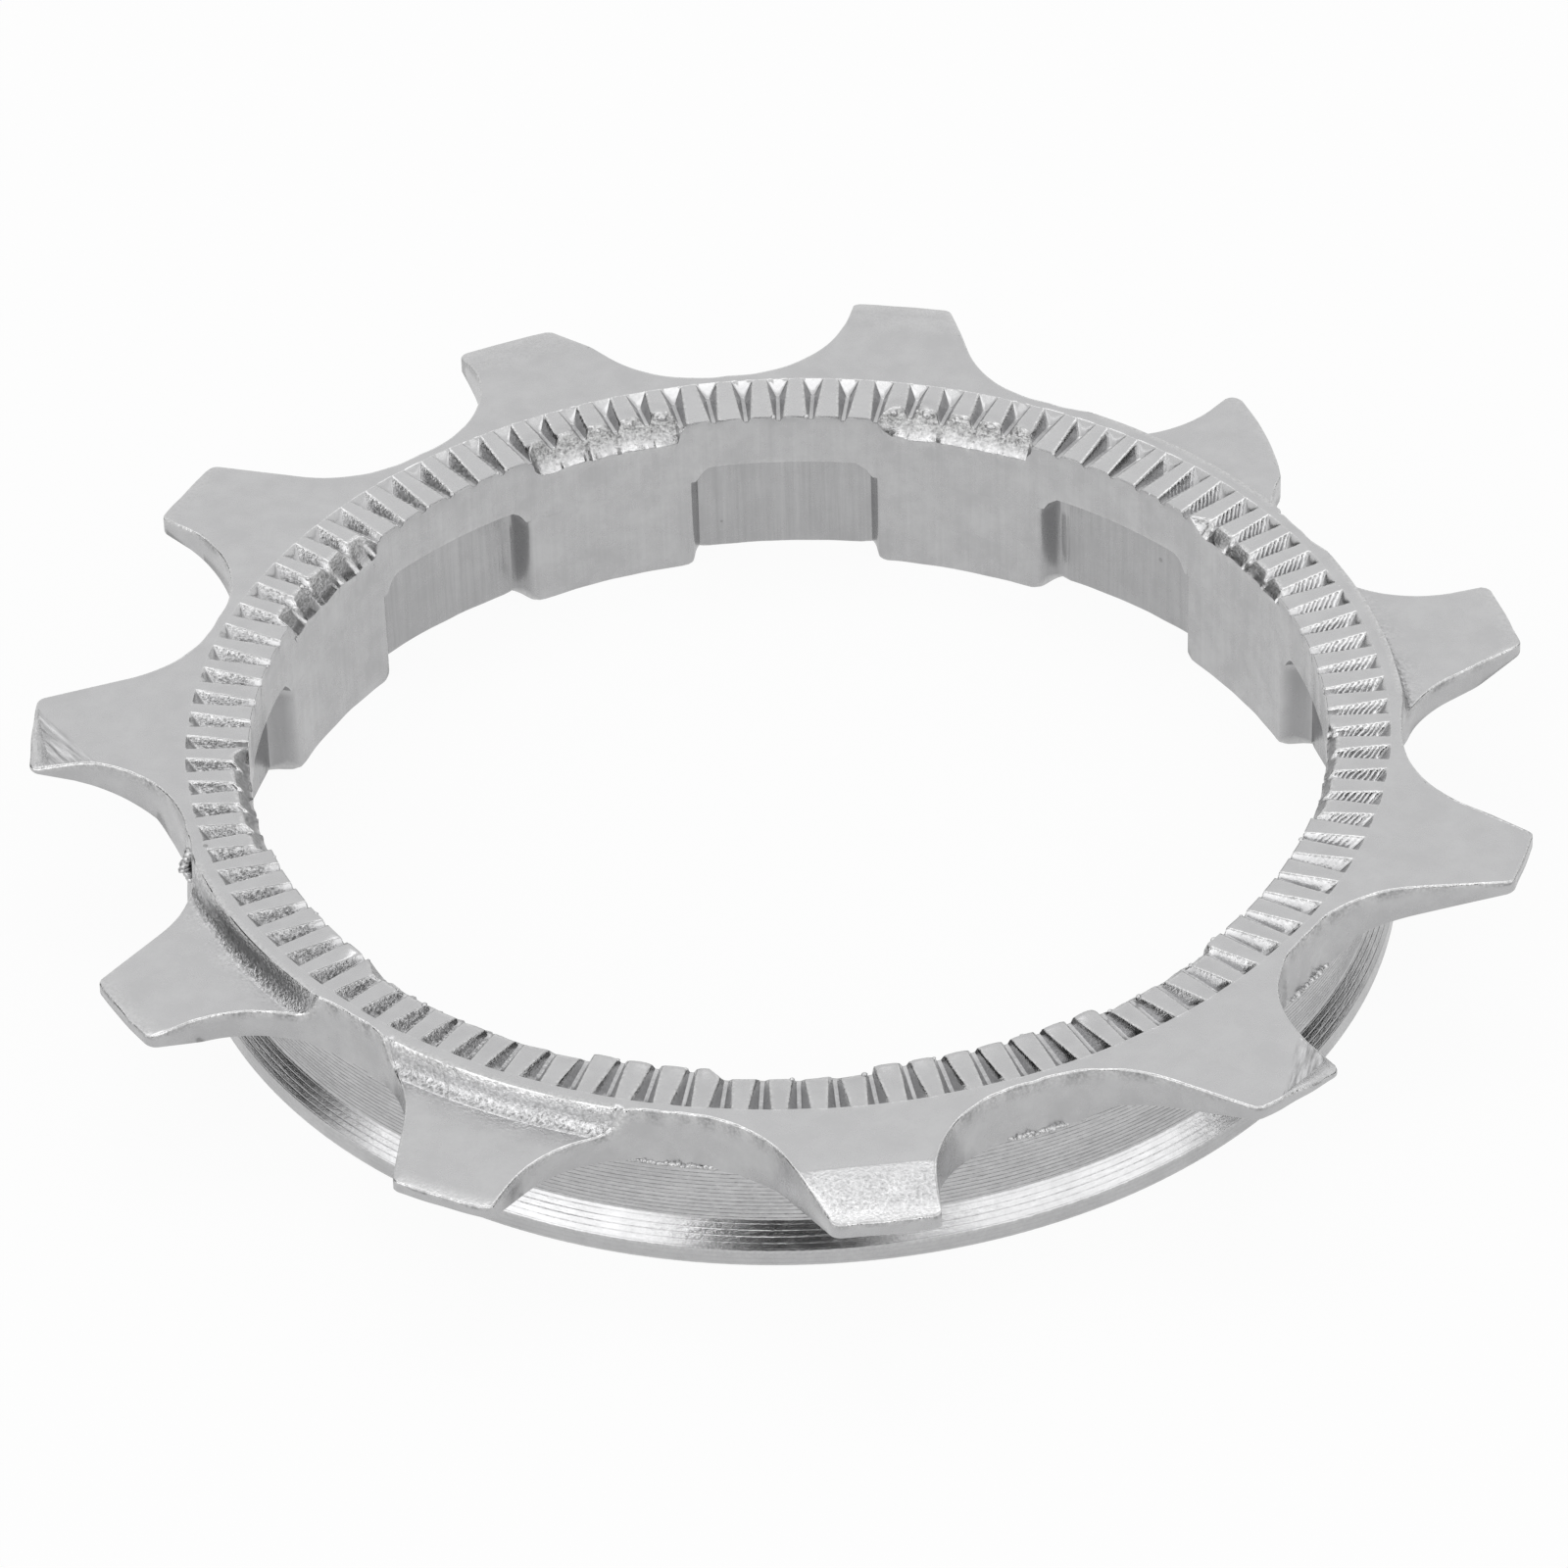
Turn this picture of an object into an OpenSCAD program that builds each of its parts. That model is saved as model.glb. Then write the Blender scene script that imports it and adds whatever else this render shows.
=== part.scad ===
// Smallest cog of a bicycle cassette, with its rear spacer in one piece.
// The back face lies on z = 0 and the serrated lockring face looks up.
// Tooth 0 points along +Y, and the teeth are counted clockwise from above.

/* [Chain] */
// Number of teeth; a bore too wide for it takes the fewest that clear the bore
teeth = 11; // [11:1:14]
// Distance between two chain rollers
chain_pitch = 12.7; // [12.6:0.1:13]
// Diameter of the seat that holds a chain roller
seat_d = 7.9; // [7.5:0.1:8.1]

/* [Teeth] */
// Height of the tooth tips above the pitch circle
tip_rise = 0.46; // [0.2:0.02:0.8]
// Turn of each roller seat away from the middle of its gap, in degrees
seat_lean = 2; // [1.5:0.1:3]
// Radius of the relief that widens each gap on its other side
relief_r = 4.05; // [3.9:0.05:4.4]
// Turn of the relief to the other side of its gap's middle, in degrees
relief_lean = 0.2; // [0:0.1:0.6]
// Slope of the steep tooth flank, in degrees off the gap's middle line
steep_flank = 3; // [1:1:8]
// Slope of the flat tooth flank, in degrees off the gap's middle line
flat_flank = 37; // [32:1:40]

/* [Tooth plate] */
// Thickness of the tooth plate at the tooth roots
plate_t = 1.9; // [1.7:0.1:2.3]
// Rise of the plate's underside from the neck to the tooth tips
under_rise = 0.15; // [0.05:0.05:0.4]
// Depth of the step in the shift teeth
step_depth = 0.9; // [0.7:0.05:1.1]
// Radial ledge between the tooth roots and the wall of the step
step_ledge = 0.14; // [0.05:0.01:0.25]
// Radius of the fillet at the foot of the step
step_fillet = 0.3; // [0.1:0.05:0.5]
// Distance from the roots at which the bevel under a full tooth starts
bevel_start = 0.65; // [0.5:0.05:1]
// Distance from the roots at which the bevel under a shift tooth starts
shift_bevel_start = 2.7; // [2:0.1:3.4]
// Thickness of the thin teeth where their bevel starts
thin_t = 1.38; // [1.2:0.02:1.7]
// Thickness of the thin teeth at their tips
thin_tip_t = 0.45; // [0.35:0.05:0.8]
// Distance from the top face to the underside at the chamfered tips
chamfered_tip_t = 0.88; // [0.7:0.02:1.2]
// Thickness of the shift teeth at their tips
shift_tip_t = 0.4; // [0.3:0.05:0.7]

/* [Ground teeth] */
// Length of the flat chamfer on the tips of the chamfered teeth
tip_chamfer_l = 1.95; // [1:0.05:2.6]
// Drop of that chamfer at the tip
tip_chamfer_h = 0.35; // [0.15:0.05:0.5]
// Width of the chamfer on the corners of the ground teeth
corner_chamfer_w = 1.4; // [0.8:0.1:1.8]
// Drop of that chamfer at the corner
corner_chamfer_h = 0.3; // [0.1:0.05:0.5]
// Turn of that chamfer away from the tooth's middle line, in degrees
corner_chamfer_turn = 42; // [30:1:55]
// Tip end of the cut across the slanted tooth, in degrees off its middle
slant_tip = 3; // [1:0.1:3.5]
// Root end of the cut across the slanted tooth, in degrees off its middle
slant_root = -8; // [-9:0.1:-7]
// Height of that root end above the root circle
slant_foot = 1.74; // [1.4:0.02:2]
// Radius of the bow in that cut
slant_r = 12.5; // [10:0.5:30]
// Turn of the tip that is cut askew, in degrees off its tooth's middle line
askew_turn = 6.7; // [3:0.1:9]
// Depth of that cut at the middle of the tip
askew_depth = 0.16; // [0.05:0.01:0.3]

/* [Spacer] */
// Height from the back face to the top face
total_h = 5.7; // [5:0.1:7]
// Radial ledge between the tooth roots and the neck
neck_ledge = 0.33; // [0.2:0.01:0.5]
// Radial ledge between the tooth roots and the back lip
lip_ledge = 0.05; // [0.02:0.01:0.2]
// Height of the straight band of the back lip
lip_h = 0.8; // [0.4:0.1:1.2]
// Height of the cone from the back lip to the neck
lip_cone_h = 0.75; // [0.4:0.05:1.2]

/* [Splined bore] */
// Diameter over the lands
land_d = 32.7; // [31.5:0.1:33]
// Depth of the recesses between the lands
spline_depth = 0.9; // [0.6:0.05:1.1]
// Least wall between the recesses and the tooth roots
wall_t = 0.9; // [0.8:0.1:1.3]
// Number of lands
lands = 9; // [7:1:11]
// Width of a land, in degrees
land_w = 19.6; // [16:0.1:22]
// Extra width of the key land, in degrees
key_extra = 11.2; // [6:0.1:13]
// Thickness of the rim that closes the recesses at the top
rim_t = 2; // [1.5:0.1:2.6]
// Radial width of the lead-in on each land
lead_w = 0.72; // [0.4:0.02:0.9]
// Height of the lead-in on each land
lead_h = 0.82; // [0.4:0.02:1.1]
// Land left bare on each side of its lead-in, in degrees
lead_margin = 2; // [1:0.1:4]

/* [Serrated face] */
// Number of serrations
serrations = 100; // [80:4:108]
// Plain rim between the serrations and the tooth roots
plain_rim = 0.33; // [0.2:0.01:0.6]
// Drop of the serrated face from its outer to its inner edge
dish = 0.22; // [0.05:0.01:0.35]
// Depth of a groove at its outer end
groove_depth = 0.42; // [0.3:0.01:0.55]
// Width of a groove at its outer end
groove_w = 0.7; // [0.5:0.01:0.75]
// Width of the flat bottom of a groove
groove_floor = 0.14; // [0.05:0.01:0.25]

/* [Hidden] */
$fn = 180;
// Overrun of a cutter past the surface that it opens
over = 1;
land_r = land_d / 2;
recess_r = land_r + spline_depth;
// Fewest teeth whose roots clear the recesses of the bore
least_pitch_r = recess_r + wall_t + seat_d / 2;
least_teeth = ceil(180 / asin(chain_pitch / (2 * least_pitch_r)));
tooth_count = max(teeth, least_teeth);
tooth_step = 360 / tooth_count;
pitch_r = chain_pitch / (2 * sin(180 / tooth_count));
root_r = pitch_r - seat_d / 2;
tip_r = pitch_r + tip_rise;
neck_r = root_r - neck_ledge;
lip_r = root_r - lip_ledge;
plate_z = total_h - plate_t;
neck_z = lip_h + lip_cone_h;
step_r = root_r + step_ledge;
serr_r = root_r - plain_rim;
// Teeth by kind, counted from tooth 0
stepped = [1, 2, 6, 7];
chamfered = [0, 5, 10];
ground = [4, 8];
slanted = [1];
askew = [9];
marked = concat(stepped, chamfered);
thin = [for (i = [0 : tooth_count - 1]) if (len(search(i, marked)) == 0) i];
land_step = 360 / lands;
key_land = round(240 / land_step);
// Angle of the first groove
groove_start = 3.25;

function tooth_angle(i) = 90 - i * tooth_step;
function polar(r, a) = [r * cos(a), r * sin(a)];
function land_extra(k) = k == key_land ? key_extra : 0;

// Part of a ring with the given section, from angle a over w degrees
module sector(a, w) {
    rotate([0, 0, a])
        rotate_extrude(angle = w)
            children();
}

// The turned blank: spacer with its lip, and the tooth plate as a plain disc
module blank() {
    rotate_extrude()
        polygon([
            [land_r, 0],
            [lip_r, 0],
            [lip_r, lip_h],
            [neck_r, neck_z],
            [neck_r, plate_z],
            [tip_r, plate_z + under_rise],
            [tip_r, total_h],
            [serr_r, total_h],
            [land_r, total_h - dish]
        ]);
}

// Outline of one tooth gap: roller seat, relief and the two straight flanks.
// The flanks start just inside the circles, so that they cross them.
module gap_outline() {
    inset = 0.01;
    end_x = tip_r + over;
    seat_c = polar(pitch_r, -seat_lean);
    relief_c = polar(root_r + relief_r, relief_lean);
    low = seat_c - (seat_d / 2 - inset) * [sin(steep_flank), cos(steep_flank)];
    high = relief_c + (relief_r - inset) * [-sin(flat_flank), cos(flat_flank)];
    translate(seat_c)
        circle(d = seat_d);
    translate(relief_c)
        circle(r = relief_r);
    polygon([
        low,
        [end_x, low.y - (end_x - low.x) * tan(steep_flank)],
        [end_x, high.y + (end_x - high.x) * tan(flat_flank)],
        high
    ]);
}

module tooth_gaps() {
    bottom = (neck_z + plate_z) / 2;
    for (i = [0 : tooth_count - 1])
        rotate([0, 0, tooth_angle(i) + tooth_step / 2])
            translate([0, 0, bottom])
                linear_extrude(total_h - bottom + over)
                    gap_outline();
}

// Section of the step in the shift teeth, rounded at its foot
module step_section() {
    floor_z = total_h - step_depth;
    out_w = tip_r + over - step_r;
    translate([step_r, floor_z + step_fillet])
        square([out_w, step_depth - step_fillet + over]);
    translate([step_r + step_fillet, floor_z])
        square([out_w - step_fillet, step_depth + over]);
    translate([step_r + step_fillet, floor_z + step_fillet])
        circle(r = step_fillet);
}

// Ring cut over one tooth, from the floor of one gap to that of the next
module tooth_sector(i) {
    clear = seat_lean / 4;
    sector(tooth_angle(i) - tooth_step / 2 - clear, tooth_step - 2 * clear)
        children();
}

module steps() {
    for (i = stepped)
        tooth_sector(i)
            step_section();
}

// Bevel under one tooth, from distance start_t below the top face to tip_t at the tip
module bevel(i, start_r, start_t, tip_t) {
    start_z = total_h - start_t;
    run = (start_t - tip_t) / (tip_r - start_r);
    foot_r = start_r - (start_z - plate_z);
    tooth_sector(i)
        polygon([
            [foot_r, plate_z],
            [start_r, start_z],
            [tip_r + over, total_h - tip_t + over * run],
            [tip_r + over, plate_z - over],
            [foot_r, plate_z - over]
        ]);
}

module bevels() {
    plate_under = plate_t - under_rise / 4;
    for (i = thin)
        bevel(i, root_r + bevel_start, thin_t, thin_tip_t);
    for (i = chamfered)
        bevel(i, root_r + bevel_start, plate_under, chamfered_tip_t);
    for (i = stepped)
        bevel(i, root_r + shift_bevel_start, plate_under, step_depth + shift_tip_t);
}

// Flat cut that starts at a point of the top face and falls along direction a
module sloped_cut(p, a, fall, size) {
    translate([p.x, p.y, total_h])
        rotate([0, 0, a])
            rotate([0, fall, 0])
                translate([0, -size / 2, 0])
                    cube(size);
}

module tip_chamfers() {
    for (i = chamfered)
        sloped_cut(
            polar(tip_r - tip_chamfer_l, tooth_angle(i)),
            tooth_angle(i),
            atan(tip_chamfer_h / tip_chamfer_l),
            seat_d
        );
}

module corner_chamfers() {
    corner_a = 4.4;
    for (i = ground) {
        a = tooth_angle(i) + corner_chamfer_turn;
        corner = polar(tip_r, tooth_angle(i) + corner_a);
        sloped_cut(
            corner - polar(corner_chamfer_w, a),
            a,
            atan(corner_chamfer_h / corner_chamfer_w),
            4 * corner_chamfer_w
        );
    }
}

// Upright bowed cut that takes one flank off the slanted tooth
module slant_cuts() {
    for (i = slanted) {
        top = polar(tip_r, tooth_angle(i) + slant_tip);
        foot = polar(root_r + slant_foot, tooth_angle(i) + slant_root);
        chord = norm(top - foot);
        along = (top - foot) / chord;
        out = [along.y, -along.x];
        centre = (top + foot) / 2 - sqrt(pow(slant_r, 2) - pow(chord / 2, 2)) * out;
        translate([0, 0, plate_z - over])
            linear_extrude(plate_t + 2 * over)
                difference() {
                    polygon([
                        foot - over * along,
                        foot - over * along + seat_d * out,
                        top + over * along + seat_d * out,
                        top + over * along
                    ]);
                    translate(centre)
                        circle(r = slant_r);
                }
    }
}

// Upright cut that leaves a tip askew
module askew_cuts() {
    for (i = askew)
        rotate([0, 0, tooth_angle(i)])
            translate([tip_r - askew_depth, 0, plate_z - over])
                rotate([0, 0, askew_turn])
                    translate([0, -seat_d / 2, 0])
                        cube([seat_d, seat_d, plate_t + 2 * over]);
}

// Blind spline recesses, open to the back and closed by the rim on top
module spline_recesses() {
    for (k = [0 : lands - 1])
        sector(
            k * land_step + land_w / 2 + land_extra(k),
            land_step - land_w - land_extra(k)
        )
            translate([land_r - over, -over])
                square([recess_r - land_r + over, total_h - rim_t + over]);
}

// Lead-in cone on the top of each land
module land_leads() {
    slope = lead_h / lead_w;
    top_z = total_h - dish * (serr_r - land_r - lead_w) / (serr_r - land_r);
    top_r = land_r + lead_w;
    for (k = [0 : lands - 1])
        sector(
            k * land_step - land_w / 2 + lead_margin,
            land_w + land_extra(k) - 2 * lead_margin
        )
            polygon([
                [land_r - over, top_z - lead_h - over * slope],
                [top_r + over, top_z + over * slope],
                [land_r - over, top_z + over * slope]
            ]);
}

// Section of one groove, narrow at the bottom
module groove_section() {
    floor_z = total_h - groove_depth;
    open = 0.1;
    top_w = groove_floor + (groove_w - groove_floor) * (groove_depth + open) / groove_depth;
    polygon([
        [-groove_floor / 2, floor_z],
        [groove_floor / 2, floor_z],
        [top_w / 2, total_h + open],
        [-top_w / 2, total_h + open]
    ]);
}

// Radial grooves that bite into the lockring, each with a sloped outer end
module serration_cuts() {
    inner_r = land_r - over / 2;
    deep = groove_depth + 0.1;
    intersection() {
        rotate_extrude()
            polygon([
                [inner_r - over, total_h - deep],
                [serr_r - deep, total_h - deep],
                [serr_r + 0.1, total_h + 0.1],
                [serr_r + 0.1, total_h + over],
                [inner_r - over, total_h + over]
            ]);
        for (k = [0 : serrations - 1])
            rotate([0, 0, groove_start + k * 360 / serrations])
                translate([inner_r, 0, 0])
                    rotate([90, 0, 90])
                        linear_extrude(serr_r - inner_r + over / 2)
                            groove_section();
    }
}

module cog() {
    color([0.74, 0.74, 0.75])
        difference() {
            blank();
            tooth_gaps();
            steps();
            bevels();
            tip_chamfers();
            corner_chamfers();
            slant_cuts();
            askew_cuts();
            spline_recesses();
            land_leads();
            serration_cuts();
        }
}

cog();
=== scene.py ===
"""Looks of the cassette cog: one plated steel piece, dressed around its CAD solid."""

import math
from types import SimpleNamespace

import bpy
import numpy as np
from mathutils import Matrix, Vector


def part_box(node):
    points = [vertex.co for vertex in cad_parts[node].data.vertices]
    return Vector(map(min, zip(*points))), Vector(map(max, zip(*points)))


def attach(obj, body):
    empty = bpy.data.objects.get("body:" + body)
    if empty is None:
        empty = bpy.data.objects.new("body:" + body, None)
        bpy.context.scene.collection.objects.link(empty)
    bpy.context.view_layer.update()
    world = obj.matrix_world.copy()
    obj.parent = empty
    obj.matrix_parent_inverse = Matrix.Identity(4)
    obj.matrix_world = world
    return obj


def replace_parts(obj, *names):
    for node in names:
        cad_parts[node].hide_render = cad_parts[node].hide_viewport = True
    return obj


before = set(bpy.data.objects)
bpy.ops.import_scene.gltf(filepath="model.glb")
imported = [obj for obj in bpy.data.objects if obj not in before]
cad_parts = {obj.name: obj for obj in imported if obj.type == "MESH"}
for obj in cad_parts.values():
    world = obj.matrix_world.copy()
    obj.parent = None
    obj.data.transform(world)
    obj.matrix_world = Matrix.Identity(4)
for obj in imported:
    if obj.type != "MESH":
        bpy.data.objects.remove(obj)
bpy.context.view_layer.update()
COG_LOW, COG_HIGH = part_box("cog")

bl_info = {
    "name": "Cassette cog",
    "version": (1, 0, 0),
    "blender": (4, 5, 0),
    "location": "View3D > Sidebar > Cog",
    "description": "Builds a small plated steel cassette cog and its studio",
    "category": "Add Mesh",
}

# Angles are in degrees and lengths in millimetres inside the shape functions.
MM = 0.001
TAU = 2 * math.pi
# Teeth by kind, counted clockwise from the one on +Y
STEPPED = (1, 2, 6, 7)
CHAMFERED = (0, 5, 10)
# Single teeth that differ from the rest
SLANTED, CHIPPED, ROUGH_CHAMFER, ASKEW = 1, 3, 5, 9
# Direction from the tooth's middle, start and slope of the bevels on single teeth
BEVELS = {8: (37, 17.67, 0.2), 4: (38.4, 17.6, 0.2), CHIPPED: (70, 8.66, 0.5)}
# Places of the rings over the wall of a step, outwards from its foot
STEP_RINGS = (-0.03, 0.0, 0.05, 0.1, 0.18, 0.29, 0.42)
# The land that is wider than the others
KEY_LAND = 6
# Where the torn lead-ins lie: middle, reach and fade in degrees
TORN_SIDE = (98, 32, 20)
# Rise of the lead-in cones
LEAD_SLOPE = 1.14
# A crest ends on a land where it lies this far past the land's edge, in degrees
LAND_MARGIN = -1.6
MOST_TRIANGLES = 200000
# Edges that turn by more than this many degrees stay sharp
SHARP_ANGLE = 42
LAMP_DISTANCE = 0.9
CARD_DISTANCE = 0.6
# Masks that the skin carries for its material
MASKS = "edge grit ground groove rough hatch torn turned broach recess grind".split()


def length_prop(label, about, default):
    """A length"""
    return bpy.props.FloatProperty(name=label, description=about, default=default, unit="LENGTH")


def count_prop(label, about, default, least):
    """A whole number"""
    return bpy.props.IntProperty(name=label, description=about, default=default, min=least)


def factor_prop(label, about, default):
    """A share between 0 and 1"""
    return bpy.props.FloatProperty(
        name=label, description=about, default=default, min=0, max=1, subtype="FACTOR"
    )


def colour_prop(label, about, *default):
    """A colour"""
    return bpy.props.FloatVectorProperty(
        name=label, description=about, default=default, subtype="COLOR", size=3, min=0, max=1
    )


class CogSizes(bpy.types.PropertyGroup):
    """Sizes of the cog"""

    height: length_prop("Height", "Height from back face to top face", COG_HIGH.z - COG_LOW.z)
    teeth: count_prop("Teeth", "Number of teeth", 11, 8)
    chain_pitch: length_prop("Chain pitch", "Distance between two chain rollers", 0.0127)
    seat: length_prop("Roller seat", "Diameter of the seat of a chain roller", 0.0079)
    tip_rise: length_prop("Tip rise", "Height of the tooth tips above the pitch circle", 0.00046)
    plate: length_prop("Plate thickness", "Thickness of the tooth plate at the roots", 0.0019)
    step: length_prop("Step", "Depth of the step in the shift teeth", 0.0009)
    bore: length_prop("Bore", "Diameter over the lands of the bore", 0.0327)
    spline: length_prop("Spline depth", "Depth of the recesses between the lands", 0.0009)
    lands: count_prop("Lands", "Number of lands in the bore", 9, 5)
    serrations: count_prop("Serrations", "Number of radial grooves in the top face", 100, 40)
    groove_depth: length_prop("Groove depth", "Depth of a groove at its outer end", 0.00042)
    groove_width: length_prop("Groove width", "Width of a groove at its outer end", 0.0007)
    edge: length_prop("Edge round", "Radius of the rounded edges of the teeth", 0.00007)
    bead: length_prop("Burr bead", "Radius of the largest burr beads", 0.00025)


class CogFinish(bpy.types.PropertyGroup):
    """Colours and finish of the plating"""

    plating: colour_prop("Plating", "Colour of the bright plating", 0.525, 0.525, 0.53)
    # Lighter tint of the edges and the burrs: partly worn metal, partly a painted highlight along
    # the edges
    edge: colour_prop("Worn edge and highlight", "Colour of the worn edges and burrs, lightened as painted highlight", 0.6, 0.6, 0.6)
    dull: colour_prop("Dull plating", "Colour of the duller patches", 0.47, 0.47, 0.475)
    # The groove tint is painted shade where the groove walls and the recesses take it; the hatch,
    # grit and ground marks take it as their darker tone
    groove: colour_prop("Groove", "Colour of the groove walls", 0.38, 0.38, 0.385)
    torn: colour_prop("Torn metal", "Colour of the torn lead-ins", 0.41, 0.41, 0.41)
    pit: colour_prop("Pit", "Colour of the sparse pits", 0.18, 0.18, 0.18)
    relief: length_prop("Relief", "Depth of the tool marks and the grain", 0.00001)
    roughness: factor_prop("Roughness", "Roughness of the plating", 0.27)


class CogStudio(bpy.types.PropertyGroup):
    """Floor and camera"""

    floor: colour_prop("Floor", "Colour of the floor", 0.9, 0.9, 0.9)
    floor_white: factor_prop("Floor white", "How far the floor shows as plain white", 0.93)
    floor_mirrored: factor_prop("Floor in reflections", "How far it is white in reflections", 0.68)
    lens: bpy.props.FloatProperty(
        name="Lens", description="Focal length of the camera in millimetres", default=199.866
    )
    distance: length_prop("Distance", "Distance of the camera from the cog", 0.263875)


def sizes_mm(p):
    """The sizes in millimetres, with those that follow from them"""
    s = SimpleNamespace(
        h=p.height / MM,
        teeth=p.teeth,
        seat_r=p.seat / MM / 2,
        plate=p.plate / MM,
        step=p.step / MM,
        land_r=p.bore / MM / 2,
        lands=p.lands,
        serrations=p.serrations,
        groove=p.groove_depth / MM,
        groove_w=p.groove_width / MM,
        edge=p.edge / MM,
    )
    s.tooth_step = 360 / s.teeth
    s.pitch_r = p.chain_pitch / MM / (2 * math.sin(math.pi / s.teeth))
    s.root_r = s.pitch_r - s.seat_r
    s.tip_r = s.pitch_r + p.tip_rise / MM
    s.neck_r = s.root_r - 0.33
    s.lip_r = s.root_r - 0.05
    s.serr_r = s.root_r - 0.33
    s.step_r = s.root_r + 0.14
    s.recess_r = s.land_r + p.spline / MM
    s.plate_z = s.h - s.plate
    s.rim_z = s.h - 2.0
    s.dish = 0.17
    s.groove_floor = 0.12
    s.groove_rise = 0.12
    s.groove_end = 1.1
    s.groove_start = 3.25
    s.land_step = 360 / s.lands
    s.land_w = 19.6
    s.key_extra = 11.2
    s.corner = 0.34
    return s


def turn(a):
    """An angle in degrees, brought between -180 and 180"""
    return (np.asarray(a) + 180.0) % 360.0 - 180.0


def smooth_min(a, b, k):
    """The lower of two surfaces, with a rounded crease of width k"""
    mix = np.clip(0.5 + 0.5 * (b - a) / k, 0, 1)
    return b * (1 - mix) + a * mix - k * mix * (1 - mix)


def smooth_max(a, b, k):
    """The higher of two surfaces, with a rounded crease of width k"""
    return -smooth_min(-a, -b, k)


def wobble(angle, seed, slow, fast, waves=10):
    """Small waviness round the ring, between about -1 and 1"""
    rng = np.random.default_rng(seed)
    total = np.zeros(np.shape(angle))
    for _ in range(waves):
        count = rng.integers(slow, fast)
        total = total + rng.uniform(0.4, 1.0) * np.sin(
            np.radians(angle) * count + rng.uniform(0, TAU)
        )
    return total / math.sqrt(waves)


def near_angle(angle, middle, reach, fade):
    """1 within reach of an angle, falling to 0 over fade"""
    return np.clip(1 - (np.abs(turn(angle - middle)) - reach) / fade, 0, 1)


def per_groove(index, seed, low, high):
    """A steady random value for each groove"""
    table = np.random.default_rng(seed).uniform(low, high, 4096)
    return table[np.asarray(index, int) % 4096]


def circle_entry(phi, cx, cy, radius):
    """Where a ray from the axis enters a circle"""
    b = cx * np.cos(phi) + cy * np.sin(phi)
    disc = b * b - (cx * cx + cy * cy - radius * radius)
    return np.where(disc > 0, b - np.sqrt(np.maximum(disc, 0)), 1e3)


def tooth_number(angle, s):
    """The tooth that an angle belongs to"""
    return np.floor((90 - np.asarray(angle)) / s.tooth_step + 0.5).astype(int) % s.teeth


def tooth_angle(i, s):
    """Direction of a tooth's middle"""
    return 90 - i * s.tooth_step


def flank_entry(phi, centre, radius, slope, side, inset):
    """Where a ray enters the straight flank that leaves a circle on one side of its gap"""
    normal = (math.sin(slope), -side * math.cos(slope))
    foot = (centre[0] - radius * normal[0], centre[1] - radius * normal[1])
    rate = np.sin(slope - side * phi)
    hit = (foot[0] * normal[0] + foot[1] * normal[1] - inset) / np.maximum(rate, 1e-4)
    far = hit * np.cos(phi) >= foot[0] - inset * normal[0]
    return np.where((rate > 1e-4) & far, hit, 1e3)


def sharp_outline(angle, inset, s):
    """Radius of the toothed outline, moved inwards by inset, with sharp tip corners"""
    i = tooth_number(angle - s.tooth_step / 2, s)
    phi = np.radians(turn(angle - tooth_angle(i, s) - s.tooth_step / 2))
    lean, relief, relief_lean = math.radians(2), 4.05, math.radians(0.2)
    steep, flat = math.radians(3), math.radians(37)
    seat_c = (s.pitch_r * math.cos(lean), -s.pitch_r * math.sin(lean))
    reach = s.root_r + relief
    relief_c = (reach * math.cos(relief_lean), reach * math.sin(relief_lean))
    out = np.minimum(
        circle_entry(phi, *seat_c, s.seat_r + inset),
        circle_entry(phi, *relief_c, relief + inset),
    )
    out = np.minimum(out, flank_entry(phi, seat_c, s.seat_r, steep, -1, inset))
    out = np.minimum(out, flank_entry(phi, relief_c, relief, flat, 1, inset))
    out = np.minimum(out, s.tip_r - inset)
    # The tip cut askew, the chipped corner, and the slanted tooth's bowed flank
    mine = tooth_number(angle, s)
    local = np.radians(turn(angle - tooth_angle(mine, s)))
    face = math.radians(6.7)
    reach = (s.tip_r - 0.16) * math.cos(face)
    cut = (reach - inset) / np.maximum(np.cos(local - face), 0.2)
    out = np.where(mine == ASKEW, np.minimum(out, cut), out)
    chip, chip_reach = math.radians(68.3), 9.45
    cut = (chip_reach - inset) / np.maximum(np.cos(local - chip), 0.2)
    out = np.where((mine == CHIPPED) & (local < 0.09), np.minimum(out, cut), out)
    bow = 12.5
    top = s.tip_r * np.array([math.cos(math.radians(3)), math.sin(math.radians(3))])
    foot = (s.root_r + 1.74) * np.array([math.cos(math.radians(8)), -math.sin(math.radians(8))])
    chord = np.hypot(*(top - foot))
    outward = np.array([top[1] - foot[1], foot[0] - top[0]]) / chord
    centre = (top + foot) / 2 - math.sqrt(bow**2 - chord**2 / 4) * outward
    b = centre[0] * np.cos(local) + centre[1] * np.sin(local)
    leave = b + np.sqrt(np.maximum(b * b - centre @ centre + (bow - inset) ** 2, 0))
    return np.where((mine == SLANTED) & (local > -0.25), np.minimum(out, leave), out)


def rounded_outline(angle, inset, s, dense):
    """Radius of the outline with rounded tip corners, moved inwards by inset"""
    radius = s.corner - inset
    count = len(dense[0])
    reach = int(count * 1.8 / 360)
    centre = np.round(angle / 360 * count).astype(int)
    index = (centre[:, None] + np.arange(-reach, reach + 1)[None, :]) % count
    qx, qy = dense[0][index], dense[1][index]
    ux, uy = np.cos(np.radians(angle))[:, None], np.sin(np.radians(angle))[:, None]
    along = qx * ux + qy * uy
    across = qy * ux - qx * uy
    room = radius * radius - across * across
    return np.max(np.where(room > 0, along + np.sqrt(np.maximum(room, 0)), 0), axis=1)


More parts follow.
